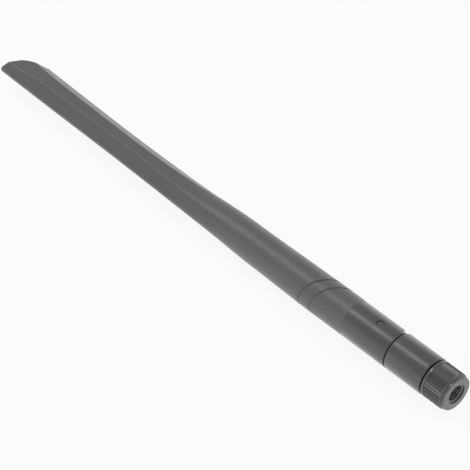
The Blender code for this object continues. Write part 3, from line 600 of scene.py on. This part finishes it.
def section(size, distance, corner, side, up, inset):
    """One point of the blade's section: round at the root, flattened and eight-sided at the tip.

    corner runs from 0 at the section's top or bottom to 1 at its side.
    """
    to_blade = size["Blade distance"] - distance
    to_blade = to_blade / (size["Blade distance"] - size["Shoulder distance"])
    roundness = smooth(to_blade.math("ADD", 0.0, clamp=True))
    lift = roundness.math("POWER", size["Thickness lag"])
    narrowing = ramp(distance, size["Root straight"], size["Shoulder distance"])
    radius = mix(narrowing, size["Root radius"], size["Shoulder radius"])
    to_narrowest = smooth(ramp(distance, size["Shoulder distance"], size["Width distance"]))
    widening = ramp(distance, size["Width distance"], size["Length"])
    half_width = radius + (size["Blade width"] / 2.0 - size["Shoulder radius"]) * to_narrowest
    half_width = half_width + (size["Tip width"] - size["Blade width"]) / 2.0 * widening - inset
    radius = radius - inset
    taper_end = size["Taper distance"] + size["Taper length"]
    thinning = smooth(ramp(distance, size["Taper distance"], taper_end))
    half_height = mix(thinning, size["Thickness"], size["Tip thickness"]) / 2.0 - inset
    half_edge = size["Edge height"] / 2.0
    flat = half_width - (half_height - half_edge) * size["Bevel run"]
    flat_slope = flat / CREASE
    bevel_slope = (half_width - flat) / (EDGE - CREASE)
    bevel_drop = (half_edge - half_height) / (EDGE - CREASE)
    edge_drop = half_edge / (EDGE - 1.0)
    after_crease = knee(corner - CREASE, CREASE_SOFTNESS)
    after_edge = knee(corner - EDGE, EDGE_SOFTNESS)
    across = flat_slope * corner + (bevel_slope - flat_slope) * after_crease
    across = across - bevel_slope * after_edge
    height = half_height + bevel_drop * after_crease + (edge_drop - bevel_drop) * after_edge
    angle = corner * (math.pi / 2)
    y = mix(roundness, side * across, side * half_width * angle.math("SINE"))
    z = mix(lift, up * height, up * radius * angle.math("COSINE"))
    bend = (distance - size["Shoulder distance"]).math("MAXIMUM", 0.0)
    bend = bend / (size["Length"] - size["Shoulder distance"])
    late = roundness.math("POWER", 4.0)
    shift = size["Shoulder shift"] * 4.0 * late * (1.0 - late)
    return y + size["Bow"] * bend * bend + shift, z


def blade_rows(tree, size, outside):
    """The blade's outer skin or its cavity as a wrapped grid, row by row from root to tip.

    The section is found twice: first for how far across a point lies, which sets how far the
    swept tip pulls it back, and then at the distance that this leaves it.
    """
    counts = OUTER_ROWS if outside else INNER_ROWS
    total = sum(counts.values())
    grid = tree.nodes.new("GeometryNodeMeshGrid")
    grid.inputs["Vertices X"].default_value = total + 1
    grid.inputs["Vertices Y"].default_value = BLADE_COLUMNS + 1
    place = tree.nodes.new("GeometryNodeInputPosition")
    apart = tree.nodes.new("ShaderNodeSeparateXYZ")
    tree.links.new(place.outputs[0], apart.inputs[0])
    row = ((Number(tree, apart.outputs["X"]) + 0.5) * total).math("ROUND")
    turn = ((Number(tree, apart.outputs["Y"]) + 0.5) * BLADE_COLUMNS).math("ROUND")
    turn = turn / (BLADE_COLUMNS / 4.0)
    corner = turn.math("PINGPONG", 1.0)
    side = 1.0 - 2.0 * turn.math("GREATER_THAN", 2.0)
    up = 1.0 - 2.0 * (turn.math("GREATER_THAN", 1.0) * turn.math("LESS_THAN", 3.0))
    starts = {}
    passed = 0
    for label, count in counts.items():
        starts[label] = passed
        passed += count

    def zone(label):
        """Runs from 0 to 1 over the rows of one zone."""
        count = max(counts[label], 1)
        return ramp(row, float(starts[label]), float(starts[label] + count))

    tip_start = size["Length"] - size["Tip sweep"] - size["Tip turn"] - 4.0 * size["Tip edge"]
    if outside:
        inset = size["Root edge"] * (1.0 - (zone("lip") * (math.pi / 2)).math("SINE"))
        lip = size["Root edge"] * (1.0 - (zone("lip") * (math.pi / 2)).math("COSINE"))
        edge_turn = zone("edge") * (math.pi / 2)
        inset = inset + size["Tip edge"] * (1.0 - edge_turn.math("COSINE"))
        reach = size["Length"] - size["Tip edge"] * (1.0 - edge_turn.math("SINE"))
    else:
        inset = mix(zone("lip"), size["Root edge"], size["Wall"])
        lip = 0.0
        reach = size["Length"] - size["Wall"]
        tip_start = tip_start - size["Wall"]
    nominal = (lip - size["Seam"]) + (GROOVE_ZONE + size["Seam"]) * zone("grooves")
    nominal = nominal + (size["Shoulder distance"] - GROOVE_ZONE) * zone("round")
    nominal = nominal + (size["Blade distance"] - size["Shoulder distance"]) * zone("morph")
    nominal = nominal + (tip_start - size["Blade distance"]) * zone("blade")
    last = (size["Length"] - tip_start) * zone("tip")
    y, z = section(size, nominal + last, corner, side, up, inset)
    half_tip = size["Tip width"] / 2.0
    share = ramp(y, size["Bow"] - half_tip, size["Bow"] + half_tip)
    near_corner = 1.0 - ramp(share, 0.0, TIP_CORNER_SHARE)
    tip_turn = smooth(ramp(share, TIP_TURN_SHARE, 1.0))
    setback = size["Tip sweep"] * share + size["Tip turn"] * tip_turn
    setback = setback + size["Tip corner"] * near_corner * near_corner
    y, z = section(size, mix(zone("tip"), nominal, reach - setback), corner, side, up, inset)
    if outside:
        lean = ramp(nominal, *SLANT_IN) * (1.0 - ramp(nominal, *SLANT_OUT))
        groove = 0.0
        for number in (0, 1):
            middle = size["First groove"] + size["Groove spacing"] * float(number)
            away = (nominal - middle).math("ABSOLUTE") / (size["Groove width"] / 2.0)
            groove = knee(1.0 - away, GROOVE_SOFTNESS) + groove
        scale = 1.0 - groove * size["Groove depth"] / size["Root radius"]
        y = y * scale
        z = z * scale
        nominal = nominal - lean * y * size["Groove slant"]
    distance = mix(zone("tip"), nominal, reach - setback)
    z = z * (1.0 - zone("end"))
    together = tree.nodes.new("ShaderNodeCombineXYZ")
    connect(tree, at(RADOME_ROOT) - distance, together.inputs["X"])
    connect(tree, y + AXIS_Y, together.inputs["Y"])
    connect(tree, z + AXIS_Z, together.inputs["Z"])
    moved = tree.nodes.new("GeometryNodeSetPosition")
    tree.links.new(grid.outputs["Mesh"], moved.inputs["Geometry"])
    tree.links.new(together.outputs[0], moved.inputs["Position"])
    return moved.outputs["Geometry"]


def make_blade():
    """The one-piece hollow blade with its round root, its two slanted grooves and its swept tip."""
    tree, _, size = new_tree("swept blade", BLADE, takes_mesh=False)
    joined = tree.nodes.new("GeometryNodeJoinGeometry")
    tree.links.new(blade_rows(tree, size, True), joined.inputs[0])
    tree.links.new(blade_rows(tree, size, False), joined.inputs[0])
    finish_tree(tree, joined.outputs[0], RADOME_PLASTIC)
    blade = add_thing("blade_shell", bpy.data.meshes.new("blade_shell"))
    shape_with(blade, tree, BLADE)
    settle(blade, crease=30)
    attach(blade, "antenna")
    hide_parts("radome")


# Hinge

def make_housing():
    """The fork half of the hinge, with its spigot inside the blade's root."""
    spigot_end = HOUSING_REAR + SPIGOT_LENGTH
    profile = [
        (CHANNEL_RADIUS, HOUSING_FRONT),
        (BODY_RADIUS, HOUSING_FRONT),
        (BODY_RADIUS, HOUSING_REAR),
        (SPIGOT_RADIUS, HOUSING_REAR),
        (SPIGOT_RADIUS, spigot_end),
        (CHANNEL_RADIUS, spigot_end),
    ]
    radii = {1: 0.15 * MM, 2: 0.03 * MM, 4: 0.3 * MM}
    housing = lathe("hinge_fork", rounded(profile, radii))
    pin = at(PIN_STATION)
    front = at(HOUSING_FRONT) + MM
    side = BODY_RADIUS + MM
    slot = arc(SLOT_RADIUS, 180, 270, 24, pin)
    slot += [(front, -SLOT_RADIUS), (front, side), (pin - SLOT_RADIUS, side)]
    cut(housing, plate("fork_slot", slot, -SLOT_HALF, SLOT_HALF))
    cheek = arc(CHEEK_RADIUS, 0, 80, 32, pin)
    past_front, past_side = pin + 3 * side, side + CHEEK_RADIUS
    cheek += [(cheek[-1][0], past_side), (past_front, past_side), (past_front, 0)]
    cut(housing, plate("fork_relief", cheek, -side, side))
    hole = [(0, side), (PIN_HOLE_RADIUS, side), (PIN_HOLE_RADIUS, -side), (0, -side)]
    cut(housing, lathe("fork_pin_hole", hole, 64, closed=False, sideways=PIN_STATION))
    settle(housing, HINGE_PLASTIC)
    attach(housing, "antenna")
    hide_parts("hinge_housing")


def make_sleeve():
    """The base sleeve that turns on the plug, with the hinge's tongue."""
    floor = SLEEVE_REAR - SLEEVE_FLOOR
    profile = [
        (BORE_RADIUS, SLEEVE_FRONT),
        (BODY_RADIUS, SLEEVE_FRONT),
        (BODY_RADIUS, SLEEVE_REAR),
        (CHANNEL_RADIUS, SLEEVE_REAR),
        (CHANNEL_RADIUS, floor),
        (BORE_RADIUS, floor),
    ]
    sleeve = lathe("base_shell", rounded(profile, {1: 0.45 * MM, 2: 0.15 * MM}))
    pin = at(PIN_STATION)
    root = at(SLEEVE_REAR - SLEEVE_FLOOR / 2)
    tongue = arc(TONGUE_RADIUS, 90, 270, 48, pin) + [(root, -TONGUE_RADIUS), (root, TONGUE_RADIUS)]
    cut(sleeve, plate("tongue", tongue, -TONGUE_HALF, TONGUE_HALF), "UNION")
    channel = [
        (0, floor - MM),
        (CHANNEL_RADIUS, floor - MM),
        (CHANNEL_RADIUS, PIN_STATION),
        (0, PIN_STATION),
    ]
    cut(sleeve, lathe("cable_channel", channel, 48, closed=False))
    reach = TONGUE_RADIUS + MM
    pocket = [
        (pin - reach, -CHANNEL_RADIUS),
        (pin + CHANNEL_RADIUS, -CHANNEL_RADIUS),
        (pin + CHANNEL_RADIUS, reach),
        (pin - reach, reach),
    ]
    cut(sleeve, plate("cable_pocket", pocket, -CHANNEL_RADIUS, CHANNEL_RADIUS))
    half = TONGUE_HALF + MM
    hole = [(0, half), (PIN_HOLE_RADIUS, half), (PIN_HOLE_RADIUS, -half), (0, -half)]
    cut(sleeve, lathe("tongue_pin_hole", hole, 64, closed=False, sideways=PIN_STATION))
    settle(sleeve, HINGE_PLASTIC)
    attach(sleeve, "base")
    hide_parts("base_sleeve")


def make_pins():
    """The two short hinge pins, with slightly domed ends that lie a little below the cheeks."""
    inner = CHANNEL_RADIUS + PIN_GAP
    outer = math.sqrt(BODY_RADIUS ** 2 - PIN_RADIUS ** 2) - PIN_RECESS
    dome = 0.1 * MM
    pins = (("pin_top", "hinge_pin_upper", 1), ("pin_bottom", "hinge_pin_lower", -1))
    for name, node, side in pins:
        profile = [(0, inner), (PIN_RADIUS - dome, inner), (PIN_RADIUS, inner + dome)]
        for step in range(9):
            angle = math.pi / 2 * step / 8
            profile.append((PIN_RADIUS * math.cos(angle), outer - dome + dome * math.sin(angle)))
        pin = lathe(name, [(radius, side * height) for radius, height in profile], 64,
                    closed=False, sideways=PIN_STATION)
        settle(pin, PIN_STEEL)
        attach(pin, "base")
        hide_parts(node)


# Coupling nut

def knurl_and_thread():
    """A tree that presses a straight knurl into a turned nut and raises its inner thread."""
    outside = NUT_RADIUS - 0.45 * MM    # the knurl moves only the points beyond this radius
    bore = THREAD_RADIUS + 0.02 * MM    # and the thread only those within this one
    thread_edge = 0.03 * MM
    off_axis = 0.1 * MM                 # keeps the division away from nought
    sizes = {
        "Ridges": KNURL_COUNT,
        "Knurl depth": KNURL_DEPTH,
        "Knurl start": KNURL_START,
        "Knurl end": KNURL_END,
        "Runout": KNURL_RUNOUT,
        "Thread pitch": THREAD_PITCH,
        "Thread depth": THREAD_DEPTH,
        "Thread start": THREAD_START,
        "Thread end": THREAD_END,
    }
    tree, given, size = new_tree("knurl and thread", sizes, takes_mesh=True)
    place = tree.nodes.new("GeometryNodeInputPosition")
    apart = tree.nodes.new("ShaderNodeSeparateXYZ")
    tree.links.new(place.outputs[0], apart.inputs[0])
    across = Number(tree, apart.outputs["X"])
    up = Number(tree, apart.outputs["Y"])
    station = FRONT_X - Number(tree, apart.outputs["Z"])
    radius = (across * across + up * up).math("SQRT")
    turn = up.math("ARCTAN2", across) / (2 * math.pi)
    outer = radius.math("GREATER_THAN", outside)
    span = ramp(station, size["Knurl start"], size["Knurl start"] + size["Runout"])
    span = span * (1.0 - ramp(station, size["Knurl end"] - size["Runout"], size["Knurl end"]))
    ridge = (turn * size["Ridges"]).math("PINGPONG", 0.5) * 2.0
    valley = 1.0 - knee(ridge - KNURL_FLOOR, KNURL_SOFTNESS).math("MINIMUM", 1.0)
    reach = ramp(radius, NUT_RADIUS - KNURL_DEPTH, NUT_RADIUS)
    pressed = size["Knurl depth"] * valley * span * outer * reach
    inner = radius.math("LESS_THAN", bore)
    depth = ramp(station, size["Thread start"], size["Thread start"] + thread_edge)
    runout = ramp(station, size["Thread end"] - size["Thread pitch"], size["Thread end"])
    depth = depth * (1.0 - runout)
    flank = (station / size["Thread pitch"] + turn).math("PINGPONG", 0.5) * 2.0
    land = 1.0 - ramp(station - size["Thread start"], *THREAD_LEDGE)
    crest = ramp(flank, *THREAD_FLANK).math("MAXIMUM", land)
    raised = size["Thread depth"] * crest * depth * inner
    scale = (radius - pressed - raised) / radius.math("MAXIMUM", off_axis)
    together = tree.nodes.new("ShaderNodeCombineXYZ")
    connect(tree, across * scale, together.inputs["X"])
    connect(tree, up * scale, together.inputs["Y"])
    tree.links.new(apart.outputs["Z"], together.inputs["Z"])
    moved = tree.nodes.new("GeometryNodeSetPosition")
    tree.links.new(given.outputs["Geometry"], moved.inputs["Geometry"])
    tree.links.new(together.outputs[0], moved.inputs["Position"])
    finish_tree(tree, moved.outputs["Geometry"], NUT_METAL)
    return tree, sizes


def divided(start, end, count):
    """Points between two profile points, without the first."""
    first, last = Vector(start), Vector(end)
    return [first.lerp(last, (step + 1) / count) for step in range(count)]


def make_nut():
    """The coupling nut: front lip, groove, straight knurl, plain rear rim and threaded bore."""
    outline = [
        (MOUTH_RADIUS, 0.0),
        (LIP_RADIUS, 0.0),
        (LIP_RADIUS, 0.50 * MM),
        (GROOVE_RADIUS, 0.66 * MM),
        (GROOVE_RADIUS, 1.02 * MM),
        (NUT_RADIUS, 1.50 * MM),
        (NUT_RADIUS, NUT_LENGTH),
        (NUT_REAR_BORE, NUT_LENGTH),
        (NUT_REAR_BORE, RING_REAR),
        (RING_POCKET_RADIUS, RING_REAR),
        (RING_POCKET_RADIUS, RING_FRONT),
        (THREAD_RADIUS, RING_FRONT),
        (THREAD_RADIUS, THREAD_START),
        (MOUTH_RADIUS, 0.5 * MM),
    ]
    radii = {1: 0.2 * MM, 2: 0.08 * MM, 6: 0.32 * MM}
    points = rounded(outline, radii)
    splits = {
        (THREAD_RADIUS, THREAD_RADIUS): 72,
        (NUT_RADIUS, NUT_RADIUS): 60,
        (GROOVE_RADIUS, NUT_RADIUS): 8,
    }
    fine = []
    for index, point in enumerate(points):
        fine.append(point)
        following = points[(index + 1) % len(points)]
        for (start, end), count in splits.items():
            if abs(point[0] - start) < TOUCH and abs(following[0] - end) < TOUCH:
                fine += divided(point, following, count)[:-1]
    nut = lathe("threaded_nut", fine, KNURL_COUNT * KNURL_COLUMNS)
    tree, sizes = knurl_and_thread()
    shape_with(nut, tree, sizes)
    settle(nut, NUT_METAL, crease=28)
    # The front face and the whole bore take the brighter copy of the plating, a painted highlight
    # over their own finish.
    nut.data.materials.append(NUT_FACE_PAINTED_LIGHT)
    margin = 0.05 * MM
    for face in nut.data.polygons:
        across = Vector((face.center.y - AXIS_Y, face.center.z - AXIS_Z))
        in_front = face.normal.x > 0.9 and abs(face.center.x - FRONT_X) < margin
        if in_front or across.length < MOUTH_RADIUS - margin:
            face.material_index = 1
    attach(nut, "nut")
    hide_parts("coupling_nut")


# Plug inside the nut

def make_plug():
    """The plug's turned body, its white insulator and its hollow centre contact."""
    body = lathe("plug_body", rounded([
        (1.66 * MM, PLUG_DEPTH),
        (2.85 * MM, PLUG_DEPTH),
        (2.85 * MM, RING_FRONT),
        (2.35 * MM, RING_FRONT),
        (2.35 * MM, RING_REAR),
        (2.65 * MM, RING_REAR),
        (2.65 * MM, 9.1 * MM),
        (3.0 * MM, 9.1 * MM),
        (3.0 * MM, 10.15 * MM),
        (2.0 * MM, 10.15 * MM),
        (2.0 * MM, 11.45 * MM),
        (3.0 * MM, 11.45 * MM),
        (3.0 * MM, 12.5 * MM),
        (2.5 * MM, 12.5 * MM),
        (2.5 * MM, 13.9 * MM),
        (3.0 * MM, 13.9 * MM),
        (3.0 * MM, 15.3 * MM),
        (1.6 * MM, 15.3 * MM),
        (1.6 * MM, 18.5 * MM),
        (1.2 * MM, 18.5 * MM),
        (1.2 * MM, 9.9 * MM),
        (1.66 * MM, 9.9 * MM),
    ], {0: 0.08 * MM, 1: 0.15 * MM, 16: 0.1 * MM, 18: 0.1 * MM}), 96)
    settle(body, GILT_BRASS)
    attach(body, "connector")
    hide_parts("connector_body")

    sheath = lathe("plug_insulator", rounded([
        (0.70 * MM, PLUG_DEPTH),
        (1.62 * MM, PLUG_DEPTH),
        (1.62 * MM, 9.6 * MM),
        (0.70 * MM, 9.6 * MM),
    ], {0: 0.05 * MM, 1: 0.08 * MM}), 72)
    settle(sheath, WHITE_INSULATOR)
    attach(sheath, "connector")
    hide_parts("insulator")

    contact = lathe("plug_contact", [
        (0, 8.0 * MM),
        (0.35 * MM, 8.0 * MM),
        (0.35 * MM, 5.85 * MM),
        (0.42 * MM, 5.72 * MM),
        (0.58 * MM, 5.70 * MM),
        (0.66 * MM, 5.80 * MM),
        (0.66 * MM, 9.3 * MM),
        (0.55 * MM, 9.3 * MM),
        (0.55 * MM, 8.3 * MM),
        (0, 8.3 * MM),
    ], 48, closed=False)
    settle(contact, GILT_BRASS)
    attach(contact, "connector")
    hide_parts("centre_contact")


def make_coax():
    """The thin coax cable, stripped at both ends, as one straight piece that is not bent at the
    hinge.
    """
    low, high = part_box("coax_cable")
    front = FRONT_X - high.x
    rear = FRONT_X - low.x
    core, dielectric, braid, jacket = 0.25 * MM, 0.5 * MM, 0.7 * MM, 0.9 * MM
    profile = [
        (0, front),
        (core, front),
        (core, front + 1.5 * MM),
        (dielectric, front + 1.5 * MM),
        (dielectric, front + 2.5 * MM),
        (jacket, front + 2.5 * MM),
    ]
    profile += divided(profile[-1], (jacket, rear - 6.5 * MM), 120)
    profile += [
        (braid, rear - 6.5 * MM),
        (braid, rear - 2.5 * MM),
        (dielectric, rear - 2.5 * MM),
        (dielectric, rear - 1.5 * MM),
        (core, rear - 1.5 * MM),
        (core, rear),
        (0, rear),
    ]
    cable = lathe("coax_line", profile, 32, closed=False)
    settle(cable, CABLE_JACKET)
    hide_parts("coax_cable")
    bend = 2.6 * MM
    at(PIN_STATION - bend)
    at(PIN_STATION + bend)
    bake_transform(cable)


def dress_inner_parts():
    """Finishes of the small parts that keep their own shape."""
    finishes = {
        "retaining_ring": SPRING_STEEL,
        "friction_ring": BLACK_RUBBER,
        "crimp_ferrule": GILT_BRASS,
        "heat_shrink": BLACK_RUBBER,
        "foam_collar": GREY_FOAM,
        "foam_pad": GREY_FOAM,
        "radiator_board": BOARD_LAMINATE,
        "ground_solder": TIN_SOLDER,
        "live_solder": TIN_SOLDER,
    }
    for node, material in finishes.items():
        for place in frame["nodes"][node].material_slots:
            place.material = material


# Studio

CAMERA_AZIMUTH = 45.457
CAMERA_ELEVATION = 46.394
CAMERA_ROLL = 0.238
CAMERA_LENS = 301.6
CAMERA_AIM = Vector((-0.4 * MM, 0.33 * MM, 0.0))       # from the middle of the nut's face
CAMERA_OFFSET = (64.42 * MM, -46.01 * MM, 1146.6 * MM)
FLOOR_DROP = 0.02 * MM
FLOOR_HALF = 4.0
FLOOR_TONE = 0.82
FLOOR_GLOW = 0.9                # how far the floor is plain white where it is seen
SKY_LIGHT = 0.68                # as light
SKY_LOW = 1.0                   # as seen, at the horizon
SKY_HIGH = 0.5                  # as seen, overhead
SKY_TURN = (0.12, 0.5)
SOFTBOX_SIDE = (-0.49, -0.115, 0.86)
SOFTBOX_DISTANCE = 1.2
SOFTBOX_WIDTH = 0.34
SOFTBOX_LENGTH = 1.6
SOFTBOX_POWER = 3.3


def make_camera():
    """A long lens at the photograph's angle: azimuth from -Y towards +X, then elevation."""
    azimuth = math.radians(CAMERA_AZIMUTH)
    elevation = math.radians(CAMERA_ELEVATION)
    roll = math.radians(CAMERA_ROLL)
    back = Vector((
        math.sin(azimuth) * math.cos(elevation),
        -math.cos(azimuth) * math.cos(elevation),
        math.sin(elevation),
    ))
    right = Vector((math.cos(azimuth), math.sin(azimuth), 0.0))
    up = back.cross(right)
    rolled_right = right * math.cos(roll) + up * math.sin(roll)
    rolled_up = up * math.cos(roll) - right * math.sin(roll)
    across, above, away = CAMERA_OFFSET
    anchor = Vector((FRONT_X, AXIS_Y, AXIS_Z)) + CAMERA_AIM
    place = anchor - rolled_right * across - rolled_up * above + back * away
    data = bpy.data.cameras.new("studio_camera")
    data.lens = CAMERA_LENS
    data.sensor_width = 36.0
    data.clip_start = 0.01
    data.clip_end = 20.0
    camera = add_thing("studio_camera", data)
    turn = Matrix((rolled_right, rolled_up, back)).transposed()
    camera.matrix_world = Matrix.Translation(place) @ turn.to_4x4()
    bpy.context.scene.camera = camera


def seen_directly(tree):
    """1 where the camera, a reflection or a clear piece sees a surface, and 0 for its light."""
    path = tree.nodes.new("ShaderNodeLightPath")
    seen = Number(tree, path.outputs["Is Camera Ray"])
    for label in ("Is Glossy Ray", "Is Transmission Ray"):
        seen = seen.math("MAXIMUM", Number(tree, path.outputs[label]))
    return seen


def make_floor():
    """A plain pale floor that keeps the object's shadow."""
    mesh = bpy.data.meshes.new("floor")
    shape = bmesh.new()
    bmesh.ops.create_grid(shape, x_segments=1, y_segments=1, size=FLOOR_HALF)
    shape.to_mesh(mesh)
    shape.free()
    floor = add_thing("floor", mesh)
    floor.location = (0, 0, -FLOOR_DROP)
    material = bpy.data.materials.new("floor")
    material.use_nodes = True
    tree = material.node_tree
    tree.nodes.clear()
    paint = tree.nodes.new("ShaderNodeBsdfDiffuse")
    paint.inputs["Color"].default_value = (FLOOR_TONE, FLOOR_TONE, FLOOR_TONE, 1.0)
    glow = tree.nodes.new("ShaderNodeEmission")
    glow.inputs["Strength"].default_value = 1.0
    seen = seen_directly(tree)
    both = tree.nodes.new("ShaderNodeMixShader")
    result = tree.nodes.new("ShaderNodeOutputMaterial")
    connect(tree, seen * FLOOR_GLOW, both.inputs[0])
    tree.links.new(paint.outputs[0], both.inputs[1])
    tree.links.new(glow.outputs[0], both.inputs[2])
    tree.links.new(both.outputs[0], result.inputs["Surface"])
    mesh.materials.append(material)


def make_world():
    """Studio surroundings: seen as white at the horizon and grey overhead, and even as light."""
    world = bpy.data.worlds.new("studio")
    bpy.context.scene.world = world
    world.use_nodes = True
    tree = world.node_tree
    background = tree.nodes["Background"]
    background.inputs["Color"].default_value = (1.0, 1.0, 1.0, 1.0)
    seen = seen_directly(tree)
    place = tree.nodes.new("ShaderNodeTexCoord")
    apart = tree.nodes.new("ShaderNodeSeparateXYZ")
    tree.links.new(place.outputs["Generated"], apart.inputs[0])
    above = smooth(ramp(Number(tree, apart.outputs["Z"]), *SKY_TURN))
    strength = mix(seen, SKY_LIGHT, mix(above, SKY_LOW, SKY_HIGH))
    connect(tree, strength, background.inputs["Strength"])


def add_lamp(name, direction, distance, width, length, power):
    """A soft box that looks at the antenna from a direction; its long side runs along X."""
    data = bpy.data.lights.new(name, "AREA")
    data.shape = "RECTANGLE"
    data.size = width
    data.size_y = length
    data.energy = power
    lamp = add_thing(name, data)
    back = Vector(direction).normalized()
    side = Vector((0.0, 1.0, 0.0))
    side = (side - back * side.dot(back)).normalized()
    along = back.cross(side)
    turn = Matrix((side, along, back)).transposed()
    lamp.matrix_world = Matrix.Translation(back * distance) @ turn.to_4x4()


bpy.context.scene.view_settings.view_transform = "Standard"
make_camera()
make_world()
make_floor()
add_lamp("overhead_softbox", SOFTBOX_SIDE, SOFTBOX_DISTANCE,
         SOFTBOX_WIDTH, SOFTBOX_LENGTH, SOFTBOX_POWER)
make_blade()
make_housing()
make_sleeve()
make_pins()
make_nut()
make_plug()
make_coax()
dress_inner_parts()
remove_tools()

bpy.context.view_layer.update()
